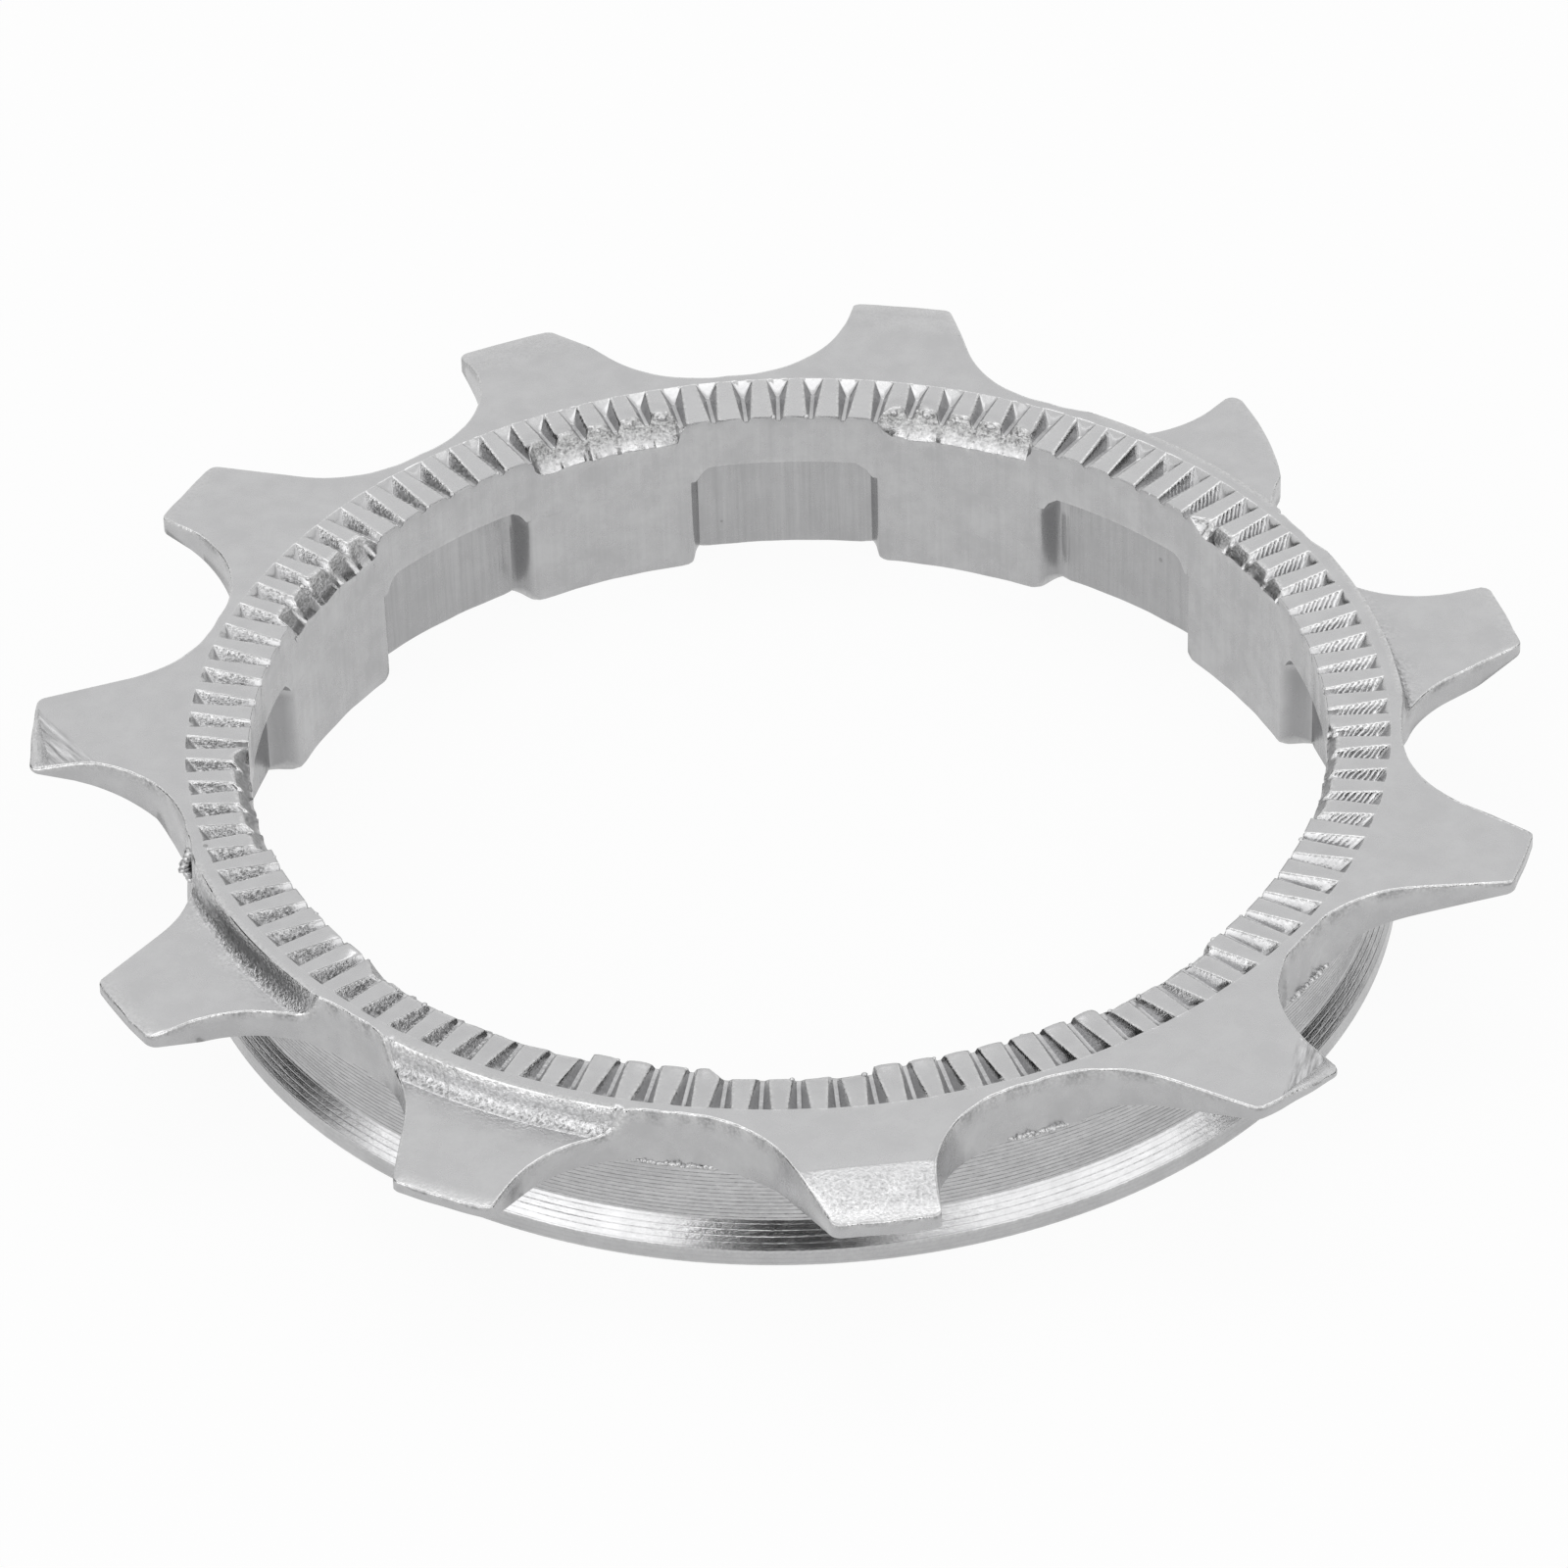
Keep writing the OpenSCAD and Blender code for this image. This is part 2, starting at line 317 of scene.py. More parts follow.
def sloped(x, y, face, start, slope):
    """Drop of a flat cut that begins at a straight line and falls away outwards"""
    a = math.radians(face)
    return np.maximum(0, x * math.cos(a) + y * math.sin(a) - start) * slope


def crease_line(i, s):
    """Direction, start and slope of the flat cut on top of a tooth, or None"""
    a = tooth_angle(i, s)
    if i in CHAMFERED:
        return a, s.tip_r - (2.1 if i == ROUGH_CHAMFER else 1.95), 0.18
    if i in BEVELS:
        face, start, slope = BEVELS[i]
        return a + face, start, slope
    return None


def land_of(angle, s):
    """How far an angle lies outside the edges of the nearest land, in degrees"""
    k = np.round(np.asarray(angle) / s.land_step).astype(int)
    best = np.full(np.shape(angle), 1e3)
    for shift in (-1, 0, 1):
        n = (k + shift) % s.lands
        extra = np.where(n == KEY_LAND, s.key_extra, 0.0)
        middle = n * s.land_step + extra / 2
        gap = np.abs(turn(angle - middle)) - (s.land_w + extra) / 2
        best = np.minimum(best, gap)
    return best


class Grooves:
    """The serrated ring: where each rib runs on it, and how high it lies, at a radius"""

    def __init__(self, angle, s):
        self.s = s
        self.pitch = TAU / s.serrations
        n = np.round(np.radians(angle - s.groove_start) / self.pitch)
        self.middle = s.groove_start + np.degrees(n * self.pitch)
        self.rib = np.floor(np.radians(angle - s.groove_start) / self.pitch)
        off = np.radians(angle - self.middle) * s.serr_r
        self.side, self.x = np.sign(off), np.abs(off)
        self.half = groove_half(n, s)
        self.deep = s.groove * per_groove(n, 5, 0.93, 1.05)
        self.end_r = s.serr_r - per_groove(n, 11, 0.0, 0.04)
        self.floor = s.groove_floor / 2
        self.in_groove = self.x < self.half
        # Lead-in cone of the lands, wider on one side of the bore
        turns = np.arange(10) * 40
        wide = np.interp(angle % 360, turns, (0.3, 0.35, 0.6, 0.64, 0.6, 0.45, 0.4, 0.36, 0.34, 0.3))
        self.top_r = s.land_r + wide + 0.04 * wobble(angle, 23, 60, 160)
        outside = (land_of(angle, s) + 2.0) * math.pi / 180 * s.land_r
        self.raised = self.face(self.top_r) + np.maximum(0, outside) * 1.5

    def share(self, r):
        """How far in towards the bore a radius lies, from 0 to 1"""
        s = self.s
        return np.clip((s.serr_r - r) / (s.serr_r - s.land_r), 0, 1)

    def face(self, r):
        """Height of the dished face"""
        return self.s.h - self.s.dish * self.share(r)

    def bottom(self, r):
        """Height of the groove's floor"""
        return self.s.h - self.deep + self.s.groove_rise * self.share(r)

    def width(self, r):
        """Half width of the groove at a radius"""
        deep = (self.face(r) - self.bottom(r)) / self.deep
        return self.floor + (self.half - self.floor) * deep

    def across(self, r):
        """Distance of the rib from the middle of its groove"""
        width = self.width(r)
        slope = (width - self.floor) / (self.half - self.floor)
        wall = self.floor + (self.x - self.floor) * slope
        crest = (self.x - self.half) / (self.pitch * self.s.serr_r / 2 - self.half)
        crest = width + crest * (self.pitch * r / 2 - width)
        return np.where(self.x <= self.floor, self.x, np.where(self.in_groove, wall, crest))

    def run(self, r):
        """Angle of the rib at a radius"""
        return self.middle + self.side * np.degrees(self.across(r) / r)

    def cut(self, r):
        """Height of the groove or the crest at a radius, without the ends of the groove"""
        rate = self.deep / (self.half - self.floor)
        wall = self.bottom(r) + np.maximum(0, self.across(r) - self.floor) * rate
        return np.where(self.in_groove, np.minimum(wall, self.face(r)), self.face(r))

    def end(self, r):
        """Height of the sloped outer end of the groove"""
        return self.s.h - (self.end_r - r) * self.s.groove_end

    def lead(self, r):
        """Height of the lead-in cone"""
        return self.raised - (self.top_r - r) * LEAD_SLOPE

    def end_crease(self):
        """Radius at which the groove meets its outer end"""
        r = self.end_r
        for _ in range(3):
            r = self.end_r - (self.s.h - self.cut(r)) / self.s.groove_end
        return np.minimum(r, self.end_r - 0.04)

    def lead_crease(self, bore, stop):
        """Radius at which the lead-in cone meets the groove or the crest"""
        r = self.top_r
        for _ in range(4):
            r = self.top_r - (self.raised - self.cut(r)) / LEAD_SLOPE
        return np.clip(r, bore + 0.08, stop - 0.15)


def groove_half(n, s):
    """Half width of a groove at its outer end"""
    return s.groove_w / 2 * per_groove(n, 7, 0.93, 1.06)


def tooth_top(r, angle, s):
    """Height of the tooth plate's top face outside the serrations, with its masks"""
    i = tooth_number(angle, s)
    x, y = r * np.cos(np.radians(angle)), r * np.sin(np.radians(angle))
    ground = grind = np.zeros(np.shape(r))
    foot = s.step_r + 0.012 * wobble(angle, 31, 20, 70)
    drop = np.array([0.0, 0.05, 0.45, 0.68, 0.85, 0.93, 0.95]) / 0.95 * s.step
    stepped = np.isin(i, STEPPED)
    z = s.h - np.where(stepped, np.interp(r - foot, STEP_RINGS, drop), 0.0)
    rough = np.interp(r - foot, (-0.02, 0.02, 0.1, 0.17, 0.36, 0.42), (0, 0.5, 0.6, 1.0, 1.0, 0.2))
    grit = np.where(stepped, rough * (r - foot < 0.43), 0.0)
    for tooth in range(s.teeth):
        line = crease_line(tooth, s)
        if line is None:
            continue
        fall = sloped(x, y, *line)
        if tooth == CHIPPED:
            fall = fall * np.clip((r - s.root_r - 1.4) / 0.6, 0, 1)
        mine = i == tooth
        z = np.where(mine, smooth_min(z, s.h - fall, 0.02), z)
        mask = np.where(mine, np.clip(fall / 0.02, 0, 1), 0)
        if tooth in CHAMFERED:
            grit = np.maximum(grit, (0.55 if tooth == ROUGH_CHAMFER else 0.12) * mask)
        elif tooth == CHIPPED:
            grit = np.maximum(grit, mask)
        else:
            ground = np.maximum(ground, mask)
            face = math.radians(line[0])
            grind = np.where(mine, x * math.cos(face) + y * math.sin(face), grind)
    return z, {"grit": grit, "ground": ground, "grind": grind}


def tooth_under(r, angle, s):
    """Height of the tooth plate's underside, bevelled in its own way under each kind"""
    i = tooth_number(angle, s)
    z = s.plate_z + 0.15 * (r - s.neck_r) / (s.tip_r - s.neck_r)

    def bevel(start, start_t, tip_t):
        start_r, start_z = s.root_r + start, s.h - start_t
        run = (start_t - tip_t) / (s.tip_r - start_r)
        return start_z + np.where(r > start_r, (r - start_r) * run, r - start_r)

    stepped = bevel(2.7, s.plate - 0.04, s.step + 0.4)
    chamfered = bevel(0.65, s.plate - 0.04, 0.88)
    thin = bevel(0.65, 1.38, 0.45)
    under = np.where(np.isin(i, STEPPED), stepped, np.where(np.isin(i, CHAMFERED), chamfered, thin))
    return smooth_max(z, under, 0.06)


def rib_angles(s):
    """Angles of the cross-sections, close together where the shape turns quickly"""
    pitch = 360 / s.serrations
    angles = []
    for k in range(s.serrations):
        middle = s.groove_start + k * pitch
        edge = math.degrees(float(groove_half(k, s)) / s.serr_r)
        floor = math.degrees(s.groove_floor / 2 / s.serr_r)
        for o in (floor, 0.6 * edge, 0.93 * edge, 1.07 * edge, 0.7 * edge + 0.15 * pitch):
            angles += [middle - o, middle + o]
        angles.append(middle + pitch / 2)
    angles = np.mod(angles, 360).tolist()
    extra = []
    for i in range(s.teeth):
        for o in (*np.arange(2.6, 5.0, 0.16), *np.arange(5.0, 9.0, 0.4)):
            extra += [tooth_angle(i, s) + o, tooth_angle(i, s) - o]
    for k in range(s.lands):
        wide = s.key_extra if k == KEY_LAND else 0.0
        for o in (-0.9, -0.55, -0.25, 0.0, 0.25, 0.55, 0.9):
            extra.append(k * s.land_step - s.land_w / 2 + o)
            extra.append(k * s.land_step + s.land_w / 2 + wide + o)
    taken = np.sort(np.array(angles))
    for a in np.sort(np.mod(extra, 360)):
        near = np.searchsorted(taken, a)
        neighbours = taken[[near % len(taken), near - 1]]
        if np.abs(turn(a - neighbours)).min() > 0.075:
            taken = np.insert(taken, near, a)
    return taken


class Rows:
    """Rings of points round the cog, from the bore over the top to the neck and back"""

    def __init__(self, angle):
        self.angle = angle
        self.a, self.r, self.z = [], [], []
        self.masks = {name: [] for name in MASKS}

    def add(self, r, z, angle=None, **masks):
        """Adds a ring from radii, heights and masks, each an array or a number"""
        full = np.ones_like(self.angle)
        self.a.append(self.angle if angle is None else angle)
        self.r.append(r * full)
        self.z.append(z * full)
        for name, rows in self.masks.items():
            rows.append(masks.get(name, 0.0) * full)


def ring_rows(rows, angle, s):
    """Rings up the bore, over the lead-ins and along the grooves to their outer ends"""
    g = Grooves(angle, s)
    bore = s.land_r + 0.012 * wobble(angle, 43, 20, 90)
    end = g.end_crease()
    lead = g.lead_crease(bore, end)
    on_land = np.clip((lead - bore - 0.08) / 0.12, 0, 1)
    wall = (g.x > 0.9 * g.floor) & (g.x < 0.96 * g.half)
    # Grooves on one side are left rough from forming, and some across from it ribbed
    rough = near_angle(angle, 190, 52, 16) * (0.45 + 0.35 * near_angle(angle, 232, 22, 25))
    hatch = wall * near_angle(angle, 22, 24, 14)
    # Lead-ins at the back are torn, the others less so
    back = on_land * near_angle(angle, *TORN_SIDE)
    ripped = 0.6 * on_land + 0.4 * back
    # Groove rims take the lighter edge tint, a painted highlight along them, weaker where the
    # grooves are rough
    crest = (0.75 - 0.4 * rough) * np.exp(-(((g.x / g.half - 1) / 0.14) ** 2))
    inner_z = np.minimum(g.cut(bore), g.lead(bore))
    curl = on_land * np.clip(0.03 + 0.03 * wobble(angle, 61, 60, 200), 0, 0.09)
    rows.add(bore, s.rim_z + 0.25, broach=0.5)
    rows.add(bore, inner_z - 0.3, broach=0.5)
    # The bore edge takes the same painted highlight, broken up at random
    broken = np.clip(0.5 + 0.6 * wobble(angle, 71, 80, 240), 0, 1)
    rows.add(bore - 0.5 * curl, inner_z - 0.06, g.run(bore), edge=0.5 * on_land * broken)
    rows.add(bore - curl + 0.02, inner_z + 0.5 * curl, g.run(bore), edge=0.7 * broken)
    for share, dark in ((0.35, 0.5), (0.7, 1.0)):
        r = bore + 0.02 + share * (lead - bore - 0.04)
        z = np.minimum(g.cut(r), g.lead(r))
        rows.add(r, z, g.run(r), grit=0.3 * ripped, torn=dark * ripped, edge=crest * (1 - on_land))
    # Crests end in a rolled burr on the lands at the back and between those at the front
    curled = np.maximum(back, 0.7 * (1 - on_land) * near_angle(angle, 275, 45, 12))
    roll = 0.15 * curled * np.clip((g.x / g.half - 1) / 0.3, 0, 1) * per_groove(g.rib, 19, 0.5, 1.2)
    r = lead - 0.045
    z = np.minimum(g.cut(r), g.lead(r)) + 0.5 * roll
    rows.add(r, z, g.run(r), torn=ripped, grit=0.4 * ripped)
    for gap, rise, bright in ((0.03, 0.95, 0.7), (0.14, 0.8, 0.5)):
        r = lead + gap
        bright = np.maximum(crest, bright * np.maximum(on_land * (gap < 0.1), 4 * roll))
        rows.add(r, g.cut(r) - 0.012 * on_land + rise * roll, g.run(r), edge=bright)
    # Along the grooves the walls take the groove tint: painted shade that darkens them
    for share in (0.3, 0.55, 0.82):
        r = lead + share * (end - lead)
        grain = rough * wall * (0.6 + 0.4 * wobble(angle, 67, 100, 300))
        walls = {"groove": wall, "rough": wall * rough, "hatch": hatch}
        rows.add(r, g.cut(r), g.run(r), edge=crest, grit=grain, **walls)
    r = end - 0.012
    rows.add(r, g.cut(r), g.run(r), edge=crest, **walls)
    for share in (0.0, 0.5, 1.0):
        r = end + 0.012 + share * (g.end_r - end - 0.012)
        z = np.where(g.in_groove, np.minimum(g.end(r), g.face(r)), g.face(r))
        rows.add(r, z - 0.006 * share * g.in_groove, g.run(r), edge=0.5 * crest + 0.3 * (share == 1))


def upper_rows(angle, s):
    """Rings over the serrated face, the teeth and their underside, down to the neck"""
    dense_a = np.arange(18000) / 50.0
    eroded = sharp_outline(dense_a, s.corner, s)
    dense = (eroded * np.cos(np.radians(dense_a)), eroded * np.sin(np.radians(dense_a)))
    ragged = 0.012 * wobble(angle, 41, 30, 120)

    def outline(inset):
        return rounded_outline(angle, inset, s, dense) + ragged

    rows = Rows(angle)
    ring_rows(rows, angle, s)
    e = s.edge
    inner_edge = outline(e)
    # Rings that the tooth edge would cross are kept just inside it, in order
    count = 17
    place = 0

    def top(radius, **masks):
        """One ring on the top face"""
        nonlocal place
        place += 1
        r = np.minimum(radius, inner_edge - 0.004 * (count - place))
        z, found = tooth_top(r, angle, s)
        rows.add(r, z, **found, **masks)

    i = tooth_number(angle, s)
    stepped = np.isin(i, STEPPED) & (inner_edge > s.step_r + 0.05)
    top(s.serr_r + 0.03)
    top(s.root_r - 0.12)
    # The foot of each step takes the lighter edge tint: a painted highlight along its fillet
    for offset in STEP_RINGS:
        top(s.step_r + offset, edge=0.8 * stepped * (offset < 0.02))
    crease = np.full_like(angle, s.root_r + 2.4)
    for tooth in range(s.teeth):
        line = crease_line(tooth, s)
        if line is not None:
            along = np.cos(np.radians(angle - line[0]))
            at = np.clip(line[1] / np.maximum(along, 0.3), s.root_r + 0.8, s.tip_r)
            crease = np.where(i == tooth, at, crease)
    start = s.step_r + 0.42
    for share in (0.35, 0.7):
        top(start + share * (crease - start))
    top(crease - 0.02)
    top(crease + 0.04)
    for share in (0.35, 0.7):
        top(crease + share * np.maximum(inner_edge - crease, 0))
    # Tooth edges take the lighter edge tint, broken up at random: partly worn edges, partly a
    # painted highlight
    broken = np.clip(0.5 + 0.7 * wobble(angle, 73, 60, 260), 0, 1)
    for inset in (e, e / 2, e * 0.14):
        r = outline(inset)
        z, _ = tooth_top(r, angle, s)
        drop = e - math.sqrt(max(e * e - (e - inset) ** 2, 0))
        bright = 0.3 + 0.7 * broken if inset < e else 0.4
        rows.add(r, z - drop, edge=bright, torn=0.5 * (1 - broken) * (inset < e / 2))
    r = outline(0.0)
    z, _ = tooth_top(r, angle, s)
    low = tooth_under(r, angle, s)
    gap = np.clip((s.root_r + 0.5 - r) / 0.5, 0, 1)
    torn = gap * (0.06 * wobble(angle, 53, 40, 150) - 0.03)
    rows.add(r, z - e, edge=0.5 * broken, rough=1 - broken)
    rows.add(r, z - e - 0.3 * (z - low - 1.6 * e))
    rows.add(r, low + 0.6 * e + torn)
    rows.add(outline(0.25 * e) + 0.4 * np.abs(torn), low + 0.15 * e + torn, edge=0.25)
    under = outline(0.7 * e)
    rows.add(under, low + 0.5 * torn, edge=0.1)
    foot = s.neck_r + 0.07
    for share in (0.66, 0.33):
        r = foot + share * (under - foot)
        rows.add(r, tooth_under(r, angle, s))
    rows.add(foot, s.plate_z + 0.01, turned=0.5)
    rows.add(s.neck_r + 0.015, s.plate_z - 0.06, turned=1)
    rows.add(s.neck_r, s.plate_z - 0.2, turned=1)
    return rows


def lower_rows(angle, s):
    """Rings from the neck over the lip and the back face, up the splined bore"""
    rows = Rows(angle)
    neck, lip = s.neck_r, s.lip_r
    waist = lip - 0.505
    # Rings down the neck and over the lip: radius, height, edge tint and turning marks; the edge
    # tint on the lip corners is partly wear, partly a painted highlight
    for r, z, edge, marked in (
        (neck - 0.07, 2.9, 0, 1),
        (neck - 0.17, 1.9, 0, 1),
        (waist, 1.44, 0, 1),
        (waist + 0.015, 1.37, 0, 0.5),
        (waist + 0.04, 1.331, 0, 0.4),
        (waist + 0.245, 1.008, 0, 0.7),
        (lip - 0.052, 0.68, 0, 0.4),
        (lip - 0.03, 0.645, 0, 0.4),
        (lip - 0.006, 0.59, 0.4, 0.4),
        (lip, 0.5, 0.2, 0.2),
        (lip, 0.14, 0, 0.2),
        (lip - 0.025, 0.045, 0.5, 0.2),
        (lip - 0.08, 0.005, 0.5, 0.2),
    ):
        rows.add(r, z, turned=marked, edge=edge)
    rows.add(lip - 0.4, 0.0, turned=1)
    outside = land_of(angle, s) * math.pi / 180 * s.land_r
    open_ = np.clip((outside + 0.12) / 0.42, 0, 1)
    open_ = open_ * open_ * (3 - 2 * open_)
    wall = s.land_r + (s.recess_r - s.land_r) * open_ + 0.012 * wobble(angle, 43, 20, 90)
    rim = s.rim_z - 0.5 * np.clip(1 - (outside - 0.1) / 0.55, 0, 1) ** 2
    deep = wall - s.land_r
    rounded = 0.4 * np.clip(1 - np.abs(outside - 0.05) / 0.4, 0, 1) ** 1.5
    lines = 0.5 + 0.5 * open_
    # The recess walls and their top edge are painted darker than the lands, most at their sides:
    # painted shade of the recesses
    shaded = open_ + 8 * open_ * (1 - open_)
    rows.add(wall + 0.06 + 0.7 * rounded, 0.0)
    # The edges at the foot and the top of the bore take the lighter edge tint, partly a painted
    # highlight
    rows.add(wall + 0.015 + 0.25 * rounded, 0.015 + 0.4 * rounded, edge=0.5, broach=lines)
    for z in (0.06 + rounded, 1.5, 2.5):
        rows.add(wall, z, broach=lines, recess=shaded)
    rows.add(wall - 0.02 * open_, rim - 0.3, broach=lines, recess=shaded)
    rows.add(wall - 0.12 * open_, rim - 0.09, recess=open_)
    rows.add(wall - 0.3 * open_, rim, recess=0.6 * open_)
    rows.add(s.land_r + 0.35 * deep, rim + 0.02, recess=0.3 * open_)
    rows.add(s.land_r + 0.05 * open_, rim + 0.04, edge=0.3 * open_, broach=lines)
    return rows


def ring_mesh(name, upper, lower, picked):
    """One closed skin: all ribs on the upper rings, and a share of them on the lower"""

    def points(rows):
        a = np.radians(rows.a)
        r, z = np.array(rows.r), np.array(rows.z)
        return np.stack([r * np.cos(a), r * np.sin(a), z], axis=-1) * MM

    top, low = points(upper), points(lower)
    n, m = len(upper.angle), len(lower.angle)
    coords = np.concatenate([top.reshape(-1, 3), low.reshape(-1, 3)])
    faces = []

    def grid(first, rings, around):
        for ring in range(rings - 1):
            a = first + ring * around
            b = a + around
            j = np.arange(around)
            k = (j + 1) % around
            faces.extend(np.stack([a + j, b + j, b + k, a + k], 1).tolist())

    grid(0, len(top), n)
    base = len(top) * n
    grid(base, len(low), m)

    def stitch(full, thin, flip):
        for k in range(m):
            start, stop = picked[k], picked[(k + 1) % m]
            span = (stop - start) % n
            half = span // 2
            t0, t1 = thin + k, thin + (k + 1) % m
            for j in range(span):
                u0, u1 = full + (start + j) % n, full + (start + j + 1) % n
                face = [t0 if j < half else t1, u1, u0]
                faces.append(face[::-1] if flip else face)
                if j == half - 1 or (half == 0 and j == 0):
                    turn_at = full + (start + half) % n
                    face = [t0, t1, turn_at]
                    faces.append(face[::-1] if flip else face)

    stitch((len(top) - 1) * n, base, False)
    stitch(0, base + (len(low) - 1) * m, True)
    mesh = bpy.data.meshes.new(name)
    mesh.from_pydata(coords.tolist(), [], faces)
    mesh.validate()
    for mask in upper.masks:
        values = np.concatenate([np.ravel(rows.masks[mask]) for rows in (upper, lower)])
        layer = mesh.attributes.new(mask, "FLOAT", "POINT")
        layer.data.foreach_set("value", values.astype(np.float32))
    mesh.update()
    return mesh


def lower_pick(angle, s):
    """Ribs that the lower rings keep: every third one, and all at the land edges"""
    near = np.abs(land_of(angle, s)) < 1.0
    keep = near | (np.arange(len(angle)) % 3 == 0)
    return np.flatnonzero(keep)


class Nodes:
    """A node tree, with short ways to add nodes and to join them"""

    def __init__(self, tree):
        self.tree, self.link = tree, tree.links.new

    def add(self, kind, sockets=(), **values):
        """A node with its properties set, and its inputs set by name or number"""
        node = self.tree.nodes.new(kind)
        for key, value in values.items():
            setattr(node, key, value)
        for key, value in dict(sockets).items():
            node.inputs[key].default_value = value
        return node

    def feed(self, node, values):
        """Feeds a node's first inputs with sockets or numbers, and gives its first output"""
        for socket, value in zip(node.inputs, values):
            if isinstance(value, (int, float)):
                socket.default_value = value
            else:
                self.link(value, socket)
        return node.outputs[0]

    def math(self, operation, *values):
        """A math node's value"""
        return self.feed(self.add("ShaderNodeMath", operation=operation), values)

    def times(self, a, b):
        """The product of two values"""
        return self.math("MULTIPLY", a, b)

    def joined(self, *values):
        """A vector made of three values"""
        return self.feed(self.add("ShaderNodeCombineXYZ"), values)

    def noise(self, vector, scale, detail, roughness=0.6):
        """A noise texture's value, read at a vector socket"""
        sockets = {"Scale": scale, "Detail": detail, "Roughness": roughness}
        node = self.add("ShaderNodeTexNoise", sockets)
        self.link(vector, node.inputs["Vector"])
        return node.outputs["Fac"]

    def ranged(self, value, low, high, to_low=0.0, to_high=1.0):
        """A value mapped from one range to another and kept inside it"""
        sockets = {"From Min": low, "From Max": high, "To Min": to_low, "To Max": to_high}
        node = self.add("ShaderNodeMapRange", sockets)
        self.link(value, node.inputs["Value"])
        return node.outputs["Result"]


def blank(owner, output):
    """The emptied nodes of a material or a world, with a new output node"""
    owner.use_nodes = True
    owner.node_tree.nodes.clear()
    n = Nodes(owner.node_tree)
    return n, n.add(output)


def group_nodes(name, inputs, outputs):
    """An empty shader group with value inputs beside its vector, and value outputs"""
    tree = bpy.data.node_groups.new(name, "ShaderNodeTree")
    tree.interface.new_socket("Vector", in_out="INPUT", socket_type="NodeSocketVector")
    for label, default in inputs:
        socket = tree.interface.new_socket(label, in_out="INPUT", socket_type="NodeSocketFloat")
        socket.default_value = default
    for label in outputs:
        tree.interface.new_socket(label, in_out="OUTPUT", socket_type="NodeSocketFloat")
    return Nodes(tree), tree.nodes.new("NodeGroupInput"), tree.nodes.new("NodeGroupOutput")


def plating_group():
    """Cloudy plating: duller patches, sparse pits, and the fine grain of the plating"""
    n, enter, leave = group_nodes("Plating", (), ("Clouds", "Pits", "Grain"))
    vector = enter.outputs["Vector"]
    clouds = n.noise(vector, 900.0, 5.0, 0.65)
    cells = n.add("ShaderNodeTexVoronoi", {"Scale": 620.0})
    n.link(vector, cells.inputs["Vector"])
    shade = n.add("ShaderNodeSeparateColor")
    n.link(cells.outputs["Color"], shade.inputs[0])
    chosen = n.math("GREATER_THAN", shade.outputs[0], 0.86)
    size = n.ranged(shade.outputs[1], 0.0, 1.0, 0.02, 0.06)
    spot = n.math("LESS_THAN", cells.outputs["Distance"], size)
    n.link(clouds, leave.inputs["Clouds"])
    n.link(n.times(spot, chosen), leave.inputs["Pits"])
    n.link(n.noise(vector, 9500.0, 2.0, 0.7), leave.inputs["Grain"])
    return n.tree


def tool_marks_group():
    """Tool marks: turned rings, upright broach lines, grinding lines and groove ribs"""
    outputs = ("Rings", "Chatter", "Uprights", "Scratches", "Ribs")
    inputs = (("Feed", 0.00016), ("Grind", 0.0))
    n, enter, leave = group_nodes("Tool marks", inputs, outputs)
    split = n.add("ShaderNodeSeparateXYZ")
    n.link(enter.outputs["Vector"], split.inputs[0])
    x, y, z = (split.outputs[axis] for axis in "XYZ")
    angle = n.math("ARCTAN2", y, x)
    square = n.times(x, x)
    square = n.math("ADD", square, n.times(y, y))
    reach = n.math("SQRT", square)
    cosine = n.times(n.math("COSINE", angle), 0.0003)
    sine = n.times(n.math("SINE", angle), 0.0003)
    # Scallops left by the feed of the turning tool, between rings of chance depth
    step = n.math("FRACT", n.math("DIVIDE", z, enter.outputs["Feed"]))
    middle = n.math("SUBTRACT", step, 0.5)
    scallop = n.times(n.times(middle, middle), 4.0)
    uneven = n.noise(n.joined(cosine, sine, z), 8000.0, 3.0, 0.65)
    line = n.ranged(scallop, 0.5, 1.0, 0.4, -0.1)
    rings = n.math("ADD", line, n.times(uneven, 0.4))
    around = n.times(angle, 0.018)
    slow = n.times(around, 0.3)
    chatter = n.noise(n.joined(slow, z, reach), 11000.0, 3.0, 0.7)
    low_z = n.times(z, 0.03)
    uprights = n.noise(n.joined(around, low_z, 0.0), 4200.0, 4.0, 0.75)
    along = n.times(y, 120.0)
    scratches = n.noise(n.joined(enter.outputs["Grind"], along, 0.0), 9.0, 3.0)
    # Ribs that lean outwards as they climb the groove walls
    lean = n.math("SUBTRACT", reach, n.times(z, 0.9))
    stray = n.noise(enter.outputs["Vector"], 1800.0, 2.0)
    phase = n.times(lean, TAU / 0.00017)
    phase = n.math("ADD", phase, n.times(stray, 9.0))
    ribs = n.math("MULTIPLY_ADD", n.math("SINE", phase), 0.5, 0.5)
    for name, value in zip(outputs, (rings, chatter, uprights, scratches, ribs)):
        n.link(value, leave.inputs[name])
    return n.tree


